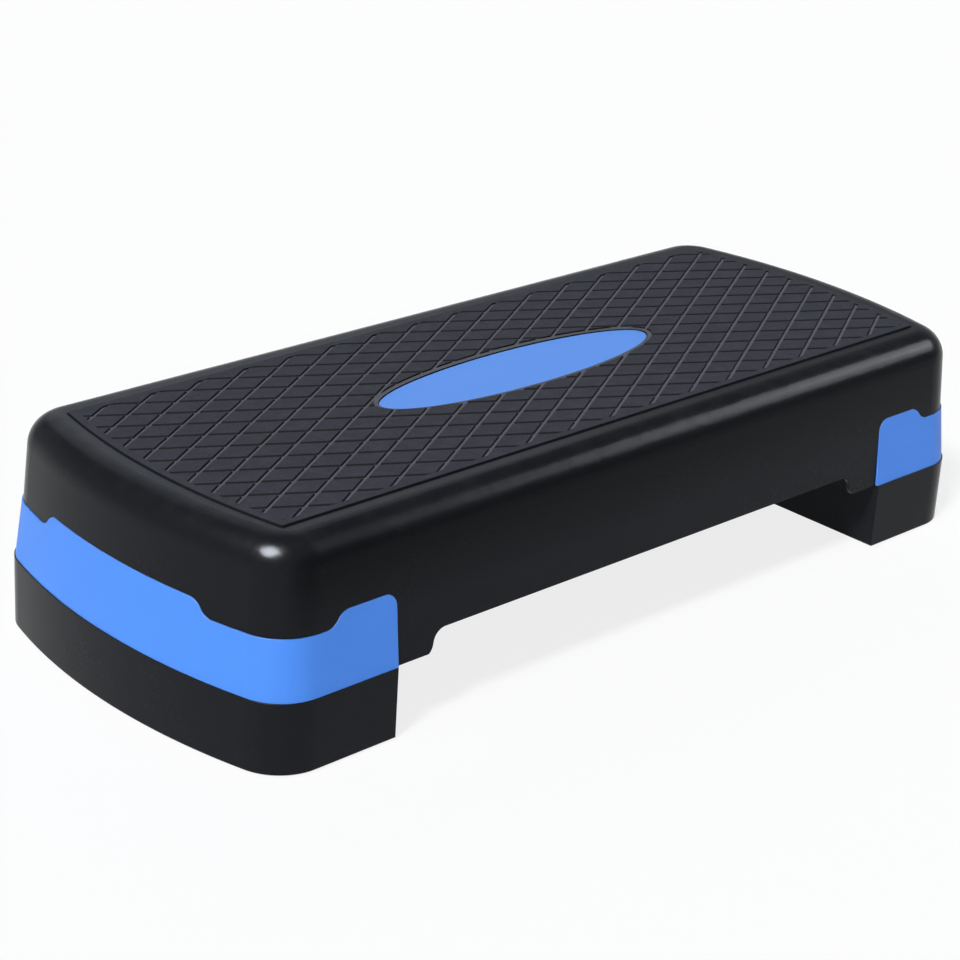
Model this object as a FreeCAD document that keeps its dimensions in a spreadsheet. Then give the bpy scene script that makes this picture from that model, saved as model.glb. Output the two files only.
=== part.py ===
import FreeCAD
import Part
import Sketcher
import math
import os

# Driving sizes of the step platform: millimetres, and degrees for the drafts.
SIZES = {
    # The whole step: its outline at the floor, its height and the lift that the risers give
    "step_length": 700,
    "step_depth": 291,
    "step_height": 150,
    "riser_height": 49.2,
    "end_bow": 23.3,
    "corner_radius": 35,
    # Deck moulding: skirt, top plate, rounded top edge and the arch between the legs
    "deck_setback": 2.6,
    "deck_draft": 3.6,
    "deck_wall": 3,
    "deck_plate": 3.2,
    "edge_radius": 21,
    "skirt_rise": 15.1,
    "skirt_span": 388.6,
    "tab_slope": 20,
    "tab_drop": 2.2,
    # Legs and ribs under the deck
    "leg_span": 428,
    "leg_wall": 3,
    "leg_skin": 2.5,
    "leg_rib_offset": 61,
    "rib_wall": 2.4,
    "rib_depth": 28,
    "rib_pitch": 54,
    "rib_root": 1,
    "near_cell_offset": 21,
    "far_cell_offset": 30,
    # Tread mat, with raised diamonds between straight grooves
    "tread_length": 625,
    "tread_depth": 218,
    "tread_bow": 11.9,
    "tread_border": 5,
    "mat_sheet": 1.8,
    "mat_gap": 0.8,
    "pad_rise": 1.2,
    "groove_width": 3,
    "diamond_length": 38.9,
    "diamond_depth": 22.3,
    "diamond_shift": 6.2,
    # Oval plaque in the middle of the mat
    "plaque_length": 252.6,
    "plaque_depth": 59.6,
    "plaque_thickness": 1.2,
    "plaque_bevel": 0.4,
    "plaque_gap": 0.4,
    "plaque_ring": 4.5,
    # Coloured end caps: a floor under the leg and a wall with a waved top edge
    "cap_span": 470,
    "cap_setback": 0.6,
    "cap_draft": 5.8,
    "cap_seat": 2.5,
    "cap_floor": 3,
    "cap_low": 40,
    "crown_rise": 10,
    "crown_slope": 19,
    "front_crown": 37,
    "end_crown": 138,
    "cap_corner_radius": 9,
    "cap_ledge": 5,
    "cap_joint": 0.35,
    "cap_clearance": 0.3,
    # Screws that hold a cap to the leg's bosses
    "screw_radius": 2,
    "screw_length": 16,
    "screw_head_radius": 4,
    "screw_head": 2.4,
    "screw_recess": 3.2,
    "screw_slot": 1,
    "screw_slot_depth": 1.2,
    "screw_clearance": 0.3,
    "pilot_clearance": 0.05,
    "pilot_spare": 2,
    "boss_radius": 5,
    "seat_radius": 7,
    "seat_rise": 2.5,
    # Pegs of a riser and the collars of a cap that take them
    "peg_radius": 12,
    "peg_height": 14,
    "peg_wall": 2.5,
    "peg_bevel": 1.5,
    "peg_clearance": 0.3,
    "collar_wall": 2.7,
    "collar_height": 12,
    # Removable risers
    "riser_span": 471,
    "riser_wall": 3,
    "riser_top": 3,
    "riser_rib_offset": 26,
    "riser_rib_step": 42,
    "riser_rib_gap": 1.5,
    # Rubber pads under the caps and under the risers
    "cap_pad_radius": 11,
    "cap_pad_thickness": 2.5,
    "cap_pad_stand": 1,
    "cap_pad_room": 0.3,
    "riser_pad_radius": 13,
    "riser_pad_thickness": 4,
    "riser_pad_stand": 1,
    "pad_bevel": 0.5,
    "pad_clearance": 0.2,
    "pad_cup_wall": 2.2,
    # Cuts run past the face that they leave by this much; edges are found within the tolerance
    "overrun": 4,
    "edge_tolerance": 0.01,
}

doc = FreeCAD.newDocument("StepPlatform")
sheet = doc.addObject("Spreadsheet::Sheet", "Sizes")
for row, (size_name, size) in enumerate(SIZES.items(), start=1):
    sheet.set(f"A{row}", size_name)
    sheet.set(f"B{row}", str(size))
    sheet.setAlias(f"B{row}", size_name)
doc.recompute()

# Heights above the floor that several pieces share
LEG_FOOT = "Sizes.riser_height"
DECK_TOP = "(Sizes.step_height - Sizes.pad_rise)"
MAT_FLOOR = f"({DECK_TOP} - Sizes.mat_sheet)"
PLATE_UNDERSIDE = f"({MAT_FLOOR} - Sizes.deck_plate)"
RIB_TOP = f"({PLATE_UNDERSIDE} + Sizes.rib_root)"
BELOW_LEG = f"({LEG_FOOT} - Sizes.overrun)"
CAP_FLOOR_TOP = f"({LEG_FOOT} + Sizes.cap_floor)"
SEAT_TOP = f"({CAP_FLOOR_TOP} + Sizes.seat_rise)"
CROWN_TOP = f"({LEG_FOOT} + Sizes.cap_low + Sizes.crown_rise)"
RISER_FOOT = "Sizes.riser_pad_stand"
RISER_PLATE_UNDERSIDE = f"({LEG_FOOT} - Sizes.riser_top)"

# Places along the right leg, and the rows across it that pegs, pads and screws use
LEG_INSIDE = "(Sizes.leg_span / 2)"
LEG_RIB = f"({LEG_INSIDE} + Sizes.leg_rib_offset)"
CELLS = [f"({LEG_RIB} - Sizes.near_cell_offset)", f"({LEG_RIB} + Sizes.far_cell_offset)"]
RISER_INSIDE = "(Sizes.riser_span / 2)"
RISER_RIBS = [
    f"({RISER_INSIDE} + Sizes.riser_rib_offset)",
    f"({RISER_INSIDE} + Sizes.riser_rib_offset + Sizes.riser_rib_step)",
]
PEG_ROWS = ["(-Sizes.rib_pitch)", "Sizes.rib_pitch"]
PAD_ROWS = ["(-2 * Sizes.rib_pitch)", "(2 * Sizes.rib_pitch)"]
RIB_ROWS = [f"({half_steps} * Sizes.rib_pitch / 2)" for half_steps in (-3, -1, 1, 3)]
FAR_END = "(Sizes.step_length / 2)"
FULL_DEPTH = "Sizes.step_depth"
FRONT = "(-Sizes.step_depth / 2)"


def number(expression):
    """Value of an expression in the sheet's sizes."""
    return float(sheet.evalExpression(expression))


def new_body(name):
    """Empty body with the given name."""
    return doc.addObject("PartDesign::Body", name)


def add_sketch(body, name, role, offset):
    """Sketch on one of the body's origin planes, moved along that plane's normal."""
    plane = next(item for item in body.Origin.OriginFeatures if item.Role == role)
    sketch = body.newObject("Sketcher::SketchObject", name)
    sketch.AttachmentSupport = [(plane, "")]
    sketch.MapMode = "FlatFace"
    sketch.setExpression(".AttachmentOffset.Base.z", offset)
    return sketch


def bind_datum(sketch, constraint, expression):
    """Add a constraint to a sketch and tie its value to an expression."""
    index = sketch.addConstraint(constraint)
    sketch.setExpression(f"Constraints[{index}]", expression)


def arc_between(start, end, radius, turn):
    """Lesser arc from start to end; turn is 1 for a left-hand bend and -1 for a right-hand one."""
    chord = end - start
    to_side = FreeCAD.Vector(-chord.y, chord.x, 0) * (turn / chord.Length)
    height = math.sqrt(radius ** 2 - (chord.Length / 2) ** 2)
    centre = (start + end) * (1 / 2) + to_side * height
    first, last = (start, end) if turn > 0 else (end, start)
    angles = [math.atan2(point.y - centre.y, point.x - centre.x) for point in (first, last)]
    circle = Part.Circle(centre, FreeCAD.Vector(0, 0, 1), radius)
    return Part.ArcOfCircle(circle, angles[0], angles[1])


def draw_outline(sketch, corners, bends=None):
    """Closed outline through the corners, each a pair of expressions.

    bends gives the sides that are arcs: side number to (radius expression, turn).
    """
    bends = bends or {}
    points = [FreeCAD.Vector(number(across), number(up), 0) for across, up in corners]
    ends = []
    for side, start in enumerate(points):
        end = points[(side + 1) % len(points)]
        if side in bends:
            radius, turn = bends[side]
            sketch.addGeometry(arc_between(start, end, number(radius), turn), False)
            bind_datum(sketch, Sketcher.Constraint("Radius", side, number(radius)), radius)
            ends.append((1, 2) if turn > 0 else (2, 1))
        else:
            sketch.addGeometry(Part.LineSegment(start, end), False)
            ends.append((1, 2))
    for side, (across, up) in enumerate(corners):
        before = side - 1 if side else len(corners) - 1
        sketch.addConstraint(Sketcher.Constraint("Coincident", before, ends[before][1], side, ends[side][0]))
        place = (-1, 1, side, ends[side][0])
        bind_datum(sketch, Sketcher.Constraint("DistanceX", *place, number(across)), across)
        bind_datum(sketch, Sketcher.Constraint("DistanceY", *place, number(up)), up)


def add_pad(body, name, sketch, length, taper=None, symmetric=False):
    """Pad of a sketch, and the body's new tip."""
    pad = body.newObject("PartDesign::Pad", name)
    pad.Profile = sketch
    pad.setExpression("Length", length)
    if taper:
        pad.setExpression("TaperAngle", taper)
    if symmetric:
        pad.SideType = "Symmetric"
    body.Tip = pad
    return pad


def add_fillet(body, name, base, is_chosen, radius):
    """Fillet on the edges of the base that is_chosen picks, and the body's new tip."""
    doc.recompute()
    edges = [f"Edge{index}" for index, edge in enumerate(base.Shape.Edges, start=1) if is_chosen(edge)]
    fillet = body.newObject("PartDesign::Fillet", name)
    fillet.Base = (base, edges)
    fillet.setExpression("Radius", radius)
    body.Tip = fillet
    return fillet


def is_upright(edge):
    """True for an edge that climbs the whole way from one level to another."""
    ends = edge.Vertexes
    return len(ends) == 2 and abs(ends[0].Z - ends[1].Z) > number("Sizes.edge_tolerance")


def is_outer_upright(edge):
    """True for an upright edge that lies outside a riser's inner face."""
    limit = number(f"{RISER_INSIDE} + Sizes.riser_wall + Sizes.edge_tolerance")
    return is_upright(edge) and edge.BoundBox.XMin > limit


def at_level(height):
    """Test for edges that lie at a height."""
    level = number(height)
    tolerance = number("Sizes.edge_tolerance")
    return lambda edge: abs(edge.BoundBox.ZMin - level) < tolerance and edge.BoundBox.ZLength < tolerance


def cut(name, base, tool):
    """Base with the tool taken away."""
    result = doc.addObject("Part::Cut", name)
    result.Base = base
    result.Tool = tool
    return result


def fuse(name, pieces):
    """Pieces joined into one solid."""
    result = doc.addObject("Part::MultiFuse", name)
    result.Shapes = pieces
    return result


def common(name, pieces):
    """What all the pieces share."""
    result = doc.addObject("Part::MultiCommon", name)
    result.Shapes = pieces
    return result


def mirror(name, source):
    """Copy of a right-hand piece at the left end."""
    result = doc.addObject("Part::Mirroring", name)
    result.Source = source
    result.Normal = FreeCAD.Vector(1, 0, 0)
    return result


def both_ends(name, source):
    """A right-hand piece and its mirrored copy, joined for a cut or a fuse."""
    return fuse(f"{name}_both", [source, mirror(f"{name}_left", source)])


def bind_place(piece, place):
    """Tie a piece's position to three expressions."""
    for axis, expression in zip("xyz", place):
        piece.setExpression(f"Placement.Base.{axis}", expression)


def block(name, place, extents):
    """Box from its lowest corner and its extents along X, Y and Z."""
    result = doc.addObject("Part::Box", name)
    for side, expression in zip(("Length", "Width", "Height"), extents):
        result.setExpression(side, expression)
    bind_place(result, place)
    return result


def rod(name, place, radius, height):
    """Upright cylinder from the centre of its lower face."""
    result = doc.addObject("Part::Cylinder", name)
    result.setExpression("Radius", radius)
    result.setExpression("Height", height)
    bind_place(result, place)
    return result


def bevelled(name, base, is_chosen, width):
    """Base with a chamfer on the edges that is_chosen picks."""
    doc.recompute()
    reach = number(width)
    result = doc.addObject("Part::Chamfer", name)
    result.Base = base
    result.Edges = [(index, reach, reach) for index, edge in enumerate(base.Shape.Edges, start=1)
                    if is_chosen(edge)]
    return result


def bowed_form(name, inset, draft, low, high, corner, edge_round=None):
    """Block with straight sides and bowed ends, set in from the step's outline at the leg's foot."""
    lean = f"tan({draft}) * ({low} - {LEG_FOOT})"
    half_depth = f"(Sizes.step_depth / 2 - {inset} - {lean})"
    shoulder = f"(Sizes.step_length / 2 - {inset} - {lean} - Sizes.end_bow)"
    end_radius = f"({half_depth} ^ 2 + Sizes.end_bow ^ 2) / (2 * Sizes.end_bow)"
    body = new_body(name)
    sketch = add_sketch(body, f"{name}_outline", "XY_Plane", low)
    corners = [
        (shoulder, f"-{half_depth}"),
        (shoulder, half_depth),
        (f"-{shoulder}", half_depth),
        (f"-{shoulder}", f"-{half_depth}"),
    ]
    draw_outline(sketch, corners, {0: (end_radius, 1), 2: (end_radius, 1)})
    last = add_pad(body, f"{name}_block", sketch, f"{high} - {low}", taper=f"-{draft}")
    last = add_fillet(body, f"{name}_corners", last, is_upright, corner)
    if edge_round:
        add_fillet(body, f"{name}_edge", last, at_level(high), edge_round)
    return body


def riser_form(name, inset, low, high):
    """Upright block of a riser's plan: flat inner face, straight sides and bowed end."""
    half_depth = f"(Sizes.step_depth / 2 - {inset})"
    shoulder = f"(Sizes.step_length / 2 - {inset} - Sizes.end_bow)"
    inner = f"({RISER_INSIDE} + {inset})"
    end_radius = f"({half_depth} ^ 2 + Sizes.end_bow ^ 2) / (2 * Sizes.end_bow)"
    body = new_body(name)
    sketch = add_sketch(body, f"{name}_outline", "XY_Plane", low)
    corners = [
        (inner, f"-{half_depth}"),
        (shoulder, f"-{half_depth}"),
        (shoulder, half_depth),
        (inner, half_depth),
    ]
    draw_outline(sketch, corners, {1: (end_radius, 1)})
    pad = add_pad(body, f"{name}_block", sketch, f"{high} - {low}")
    add_fillet(body, f"{name}_corners", pad, is_outer_upright, f"Sizes.corner_radius - {inset}")
    return body


def draw_oval(sketch, grow):
    """Oval of the plaque, moved outwards, as one more loop of a sketch."""
    across = f"(Sizes.plaque_length + 2 * {grow})"
    deep = f"(Sizes.plaque_depth + 2 * {grow})"
    shape = Part.Ellipse(FreeCAD.Vector(0, 0, 0), number(across) / 2, number(deep) / 2)
    oval = sketch.addGeometry(shape, False)
    sketch.exposeInternalGeometry(oval)
    long_axis = oval + 1
    short_axis = oval + 2
    sketch.addConstraint(Sketcher.Constraint("Coincident", oval, 3, -1, 1))
    sketch.addConstraint(Sketcher.Constraint("Horizontal", long_axis))
    bind_datum(sketch, Sketcher.Constraint("Distance", long_axis, number(across)), across)
    bind_datum(sketch, Sketcher.Constraint("Distance", short_axis, number(deep)), deep)


def draw_tread(sketch, grow, window=None):
    """Outline of the tread, moved outwards, with the plaque's oval left out where a window is given."""
    half_depth = f"(Sizes.tread_depth / 2 + {grow})"
    shoulder = f"(Sizes.tread_length / 2 - Sizes.tread_bow + {grow})"
    end_radius = f"({half_depth} ^ 2 + Sizes.tread_bow ^ 2) / (2 * Sizes.tread_bow)"
    corners = [
        (shoulder, f"-{half_depth}"),
        (shoulder, half_depth),
        (f"-{shoulder}", half_depth),
        (f"-{shoulder}", f"-{half_depth}"),
    ]
    draw_outline(sketch, corners, {0: (end_radius, 1), 2: (end_radius, 1)})
    if window:
        draw_oval(sketch, window)


def tread_block(name, grow, low, height, window=None):
    """Flat block of the tread's outline, moved outwards."""
    body = new_body(name)
    sketch = add_sketch(body, f"{name}_outline", "XY_Plane", low)
    draw_tread(sketch, grow, window)
    add_pad(body, f"{name}_pad", sketch, height)
    return body


def raised(name, flat, height):
    """Upright block on a flat shape."""
    result = doc.addObject("Part::Extrusion", name)
    result.Base = flat
    result.DirMode = "Custom"
    result.Dir = FreeCAD.Vector(0, 0, 1)
    result.setExpression("LengthFwd", height)
    result.Solid = True
    return result


def wave_rise(run):
    """Radius of the two arcs that carry an edge up the crown's rise over a run."""
    return f"(Sizes.crown_rise ^ 2 + {run} ^ 2) / (4 * Sizes.crown_rise)"


def wave_prism(name, gap):
    """Space under the waved edge of the right cap, widened by a gap on its edge."""
    inner = f"(Sizes.cap_span / 2 - {gap})"
    outer = f"({FAR_END} + Sizes.overrun)"
    low = f"({LEG_FOOT} + Sizes.cap_low + {gap})"
    top = f"({low} + Sizes.crown_rise)"
    half_way = f"({low} + Sizes.crown_rise / 2)"
    bend = wave_rise("Sizes.crown_slope")
    side_end = f"(Sizes.cap_span / 2 + Sizes.front_crown + {gap})"
    side_foot = f"({side_end} + Sizes.crown_slope)"
    side_middle = f"({side_end} + Sizes.crown_slope / 2)"
    side = new_body(f"{name}_side")
    sketch = add_sketch(side, f"{name}_side_profile", "XZ_Plane", "0")
    corners = [
        (inner, BELOW_LEG),
        (outer, BELOW_LEG),
        (outer, low),
        (side_foot, low),
        (side_middle, half_way),
        (side_end, top),
        (f"({inner} + Sizes.cap_corner_radius)", top),
        (inner, f"({top} - Sizes.cap_corner_radius)"),
    ]
    draw_outline(sketch, corners, {3: (bend, -1), 4: (bend, 1), 6: ("Sizes.cap_corner_radius", 1)})
    add_pad(side, f"{name}_side_block", sketch, "Sizes.step_depth + 2 * Sizes.overrun", symmetric=True)

    reach = "(Sizes.step_depth / 2 + Sizes.overrun)"
    end_edge = f"(Sizes.end_crown / 2 + {gap})"
    end_foot = f"({end_edge} + Sizes.crown_slope)"
    end_middle = f"({end_edge} + Sizes.crown_slope / 2)"
    end = new_body(f"{name}_end")
    sketch = add_sketch(end, f"{name}_end_profile", "YZ_Plane", side_end)
    corners = [
        (f"-{reach}", BELOW_LEG),
        (reach, BELOW_LEG),
        (reach, low),
        (end_foot, low),
        (end_middle, half_way),
        (end_edge, top),
        (f"-{end_edge}", top),
        (f"-{end_middle}", half_way),
        (f"-{end_foot}", low),
        (f"-{reach}", low),
    ]
    draw_outline(sketch, corners, {3: (bend, -1), 4: (bend, 1), 6: (bend, 1), 7: (bend, -1)})
    add_pad(end, f"{name}_end_block", sketch, f"{outer} - {side_end}")
    return fuse(name, [side, end])


def skirt_arch():
    """Cut under the skirt between the legs, with a curved rise beside each leg's tab."""
    low = f"({LEG_FOOT} - Sizes.tab_drop)"
    rise = "(Sizes.skirt_rise + Sizes.tab_drop)"
    top = f"({low} + {rise})"
    half_way = f"({low} + {rise} / 2)"
    edge = "(Sizes.skirt_span / 2)"
    middle = f"({edge} + Sizes.tab_slope / 2)"
    foot = f"({edge} + Sizes.tab_slope)"
    bend = f"({rise} ^ 2 + Sizes.tab_slope ^ 2) / (4 * {rise})"
    body = new_body("skirt_arch")
    sketch = add_sketch(body, "skirt_arch_profile", "XZ_Plane", "0")
    corners = [
        (f"-{foot}", low),
        (foot, low),
        (middle, half_way),
        (edge, top),
        (f"-{edge}", top),
        (f"-{middle}", half_way),
    ]
    draw_outline(sketch, corners, {1: (bend, -1), 2: (bend, 1), 4: (bend, 1), 5: (bend, -1)})
    add_pad(body, "skirt_arch_block", sketch, "Sizes.step_depth + 2 * Sizes.overrun", symmetric=True)
    return body


def rib_along(name, row, start, end, low, top):
    """Rib that runs along X at a row."""
    place = (start, f"{row} - Sizes.rib_wall / 2", low)
    return block(name, place, (f"{end} - {start}", "Sizes.rib_wall", f"{top} - {low}"))


def wall_across(name, start, thickness, low, top):
    """Rib or wall that runs along Y, from its near face."""
    return block(name, (start, FRONT, low), (thickness, FULL_DEPTH, f"{top} - {low}"))


def deck_ribs(core):
    """Ribs under the plate, deep ribs and inner wall of each leg, trimmed to the deck's core."""
    low = f"({PLATE_UNDERSIDE} - Sizes.rib_depth)"
    shallow = [
        rib_along(f"deck_rib_row_{index}", row, f"-{FAR_END}", FAR_END, low, RIB_TOP)
        for index, row in enumerate(RIB_ROWS)
    ]
    shallow += [
        wall_across(f"deck_rib_{step + 3}", f"{step} * Sizes.rib_pitch - Sizes.rib_wall / 2",
                    "Sizes.rib_wall", low, RIB_TOP)
        for step in range(-3, 4)
    ]
    deep = [
        rib_along(f"leg_rib_row_{index}", row, LEG_INSIDE, FAR_END, CAP_FLOOR_TOP, RIB_TOP)
        for index, row in enumerate(RIB_ROWS)
    ]
    deep.append(wall_across("leg_rib", f"{LEG_RIB} - Sizes.rib_wall / 2", "Sizes.rib_wall",
                            CAP_FLOOR_TOP, RIB_TOP))
    deep.append(wall_across("leg_inner_wall", LEG_INSIDE, "Sizes.leg_wall", LEG_FOOT, RIB_TOP))
    legs = both_ends("leg_ribs", fuse("leg_ribs", deep))
    return common("deck_ribs", [fuse("deck_rib_grid", shallow + [legs]), core])


def at_screws(name, low, radius, height):
    """Rods on the axes of the right cap's screws."""
    return [
        rod(f"{name}_{index}", (LEG_RIB, row, low), radius, height)
        for index, row in enumerate(RIB_ROWS)
    ]


def at_cells(name, rows, low, radius, height):
    """Rods at the leg's cells in the given rows."""
    return [
        rod(f"{name}_{index}", (along, row, low), radius, height)
        for index, (along, row) in enumerate((along, row) for along in CELLS for row in rows)
    ]


def make_deck():
    """Deck moulding: drafted shell with a rounded edge, ribs, legs, screw bosses and mat recess."""
    draft = "Sizes.deck_draft"
    face = "Sizes.deck_setback"
    outer = bowed_form("deck_outer", face, draft, LEG_FOOT, DECK_TOP,
                       "Sizes.corner_radius", "Sizes.edge_radius")
    core = bowed_form("deck_core", f"({face} + Sizes.cap_seat)", draft, LEG_FOOT, RIB_TOP,
                      "Sizes.corner_radius - Sizes.cap_seat", "Sizes.edge_radius - Sizes.cap_seat")
    wide = bowed_form("deck_hollow", f"({face} + Sizes.deck_wall)", draft, BELOW_LEG, PLATE_UNDERSIDE,
                      "Sizes.corner_radius - Sizes.deck_wall", "Sizes.edge_radius - Sizes.deck_wall")
    leg_depth = "(Sizes.cap_seat + Sizes.leg_skin)"
    narrow = bowed_form("leg_hollow", f"({face} + {leg_depth})", draft, BELOW_LEG, PLATE_UNDERSIDE,
                        f"Sizes.corner_radius - {leg_depth}", f"Sizes.edge_radius - {leg_depth}")
    zone_start = "(Sizes.cap_span / 2 - Sizes.cap_ledge)"
    zone = block("leg_zone", (zone_start, FRONT, BELOW_LEG),
                 (f"{FAR_END} - {zone_start}", FULL_DEPTH, f"{CROWN_TOP} + Sizes.cap_ledge - {BELOW_LEG}"))
    hollow = fuse("deck_hollows", [narrow, cut("skirt_hollow", wide, both_ends("leg_zone", zone))])

    rebate = both_ends("cap_rebate", cut("cap_rebate", wave_prism("cap_space", "Sizes.cap_joint"), core))
    slab_start = "(Sizes.cap_span / 2 - Sizes.cap_joint)"
    slab = block("cap_floor_space", (slab_start, FRONT, BELOW_LEG),
                 (f"{FAR_END} - {slab_start}", FULL_DEPTH, f"{CAP_FLOOR_TOP} - {BELOW_LEG}"))
    shell = cut("deck_skin", outer, fuse("deck_hollowing", [hollow, rebate, both_ends("cap_slab", slab)]))

    bosses = at_screws("screw_boss", SEAT_TOP, "Sizes.boss_radius", f"{RIB_TOP} - {SEAT_TOP}")
    ribbed = fuse("deck_ribbed", [shell, deck_ribs(core), both_ends("bosses", fuse("bosses", bosses))])

    seats = at_screws("seat_room", BELOW_LEG, "Sizes.seat_radius + Sizes.cap_clearance",
                      f"{SEAT_TOP} - {BELOW_LEG}")
    pilots = at_screws("screw_pilot", BELOW_LEG, "Sizes.screw_radius + Sizes.pilot_clearance",
                       "Sizes.screw_recess + Sizes.screw_length + Sizes.pilot_spare + Sizes.overrun")
    recess = tread_block("mat_recess", "Sizes.mat_gap", MAT_FLOOR, "Sizes.mat_sheet + Sizes.overrun")
    cuts = [skirt_arch(), recess, both_ends("screw_room", fuse("screw_room", seats + pilots))]
    return cut("deck_shell", ribbed, fuse("deck_cuts", cuts))


def groove_strips(name, way):
    """Flat strips where one family of grooves runs; way is 1 if they climb along X and -1 if they fall.

    Both families cross in the middle of the step's length, a shift in front of the tread's middle.
    """
    side = "sqrt(Sizes.diamond_length ^ 2 + Sizes.diamond_depth ^ 2)"
    along = f"(Sizes.diamond_length / {side})"
    across = f"({way} * Sizes.diamond_depth / {side})"
    lean = "(Sizes.diamond_length / Sizes.diamond_depth)"
    reach = "(Sizes.tread_depth + 2 * Sizes.diamond_shift)"
    half_count = round(number(f"ceil((Sizes.tread_length + {reach} * {lean}) / (2 * Sizes.diamond_length))"))
    length = f"(({reach} + 2 * Sizes.groove_width) * {side} / Sizes.diamond_depth)"
    strips = []
    for index in range(2 * half_count + 1):
        strip = doc.addObject("Part::Plane", f"{name}_{index}")
        strip.setExpression("Length", length)
        strip.setExpression("Width", "Sizes.groove_width")
        strip.setExpression("Placement.Rotation.Angle",
                            f"{way} * atan(Sizes.diamond_depth / Sizes.diamond_length)")
        middle = f"({index} - {half_count}) * Sizes.diamond_length"
        start = f"{middle} - {length} / 2 * {along} + Sizes.groove_width / 2 * {across}"
        front = f"-Sizes.diamond_shift - {length} / 2 * {across} - Sizes.groove_width / 2 * {along}"
        bind_place(strip, (start, front, DECK_TOP))
        strips.append(strip)
    group = doc.addObject("Part::Compound", name)
    group.Links = strips
    return group


def make_mat():
    """Rubber mat: thin sheet with raised diamonds, a border as high as they are, and an oval window."""
    base = tread_block("mat_base", "0", MAT_FLOOR, "Sizes.mat_sheet", "Sizes.plaque_gap")
    sketch = doc.addObject("Sketcher::SketchObject", "diamond_field_outline")
    sketch.setExpression("Placement.Base.z", DECK_TOP)
    draw_tread(sketch, "(-Sizes.tread_border)", "Sizes.plaque_ring")
    field = doc.addObject("Part::Face", "diamond_field")
    field.Sources = [sketch]
    rows = cut("diamond_rows", field, groove_strips("rising_grooves", 1))
    flats = cut("diamond_flats", rows, groove_strips("falling_grooves", -1))
    room = tread_block("mat_border_room", "(-Sizes.tread_border)", MAT_FLOOR,
                       "Sizes.mat_sheet + Sizes.pad_rise + Sizes.overrun")
    border = cut("mat_border", tread_block("mat_border_blank", "0", DECK_TOP, "Sizes.pad_rise"), room)
    return fuse("tread_mat", [base, raised("diamonds", flats, "Sizes.pad_rise"), border])


def make_plaque():
    """Thin oval plate with a bevelled top edge, bare on top."""
    oval = doc.addObject("Part::Ellipse", "plaque_oval")
    oval.setExpression("MajorRadius", "Sizes.plaque_length / 2")
    oval.setExpression("MinorRadius", "Sizes.plaque_depth / 2")
    bind_place(oval, ("0", "0", MAT_FLOOR))
    plate = raised("plaque_plate", oval, "Sizes.plaque_thickness")
    top = f"({MAT_FLOOR} + Sizes.plaque_thickness)"
    return bevelled("oval_plaque", plate, at_level(top), "Sizes.plaque_bevel")


def make_cap():
    """Right end cap: waved wall round the leg, floor, screw seats and collars for the riser's pegs."""
    high = f"({CROWN_TOP} + Sizes.overrun)"
    outer = bowed_form("cap_outer", "Sizes.cap_setback", "Sizes.cap_draft", LEG_FOOT, high,
                       "Sizes.corner_radius")
    seat_depth = "(Sizes.cap_seat - Sizes.cap_clearance)"
    cavity = bowed_form("cap_cavity", f"(Sizes.deck_setback + {seat_depth})", "Sizes.deck_draft",
                        CAP_FLOOR_TOP, high, f"Sizes.corner_radius - {seat_depth}")
    wall = cut("cap_wall", common("cap_block", [outer, wave_prism("cap_wave", "0")]), cavity)
    collar_radius = "Sizes.peg_radius + Sizes.peg_clearance + Sizes.collar_wall"
    collars = at_cells("peg_collar", PEG_ROWS, LEG_FOOT, collar_radius,
                       "Sizes.cap_floor + Sizes.collar_height")
    seats = at_screws("screw_seat", LEG_FOOT, "Sizes.seat_radius", "Sizes.cap_floor + Sizes.seat_rise")
    solid = fuse("cap_solid", [wall] + collars + seats)
    holes = at_cells("peg_hole", PEG_ROWS, BELOW_LEG, "Sizes.peg_radius + Sizes.peg_clearance",
                     "Sizes.cap_floor + Sizes.collar_height + 2 * Sizes.overrun")
    holes += at_cells("cap_pad_seat", PAD_ROWS, BELOW_LEG, "Sizes.cap_pad_radius + Sizes.pad_clearance",
                      "Sizes.cap_pad_thickness - Sizes.cap_pad_stand + Sizes.overrun")
    holes += at_screws("shank_hole", BELOW_LEG, "Sizes.screw_radius + Sizes.screw_clearance",
                       f"{SEAT_TOP} - {BELOW_LEG} + Sizes.overrun")
    holes += at_screws("head_hole", BELOW_LEG, "Sizes.screw_head_radius + Sizes.screw_clearance",
                       "Sizes.screw_recess + Sizes.overrun")
    return cut("right_end_cap", solid, fuse("cap_holes", holes))


def make_screws():
    """The right cap's screws: slotted heads and plain shanks, as separate solids."""
    seat = f"({LEG_FOOT} + Sizes.screw_recess)"
    head_low = f"({seat} - Sizes.screw_head)"
    heads = at_screws("screw_head", head_low, "Sizes.screw_head_radius", "Sizes.screw_head")
    shanks = at_screws("screw_shank", seat, "Sizes.screw_radius", "Sizes.screw_length")
    screws = []
    for index, (head, shank, row) in enumerate(zip(heads, shanks, RIB_ROWS)):
        place = (f"{LEG_RIB} - Sizes.screw_head_radius", f"{row} - Sizes.screw_slot / 2",
                 f"{head_low} - Sizes.overrun")
        slot = block(f"screw_slot_{index}", place, ("2 * Sizes.screw_head_radius", "Sizes.screw_slot",
                                                   "Sizes.screw_slot_depth + Sizes.overrun"))
        whole = fuse(f"screw_blank_{index}", [head, shank])
        screws.append(cut(f"screw_{index}", whole, slot))
    group = doc.addObject("Part::Compound", "right_cap_screws")
    group.Links = screws
    return group


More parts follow.
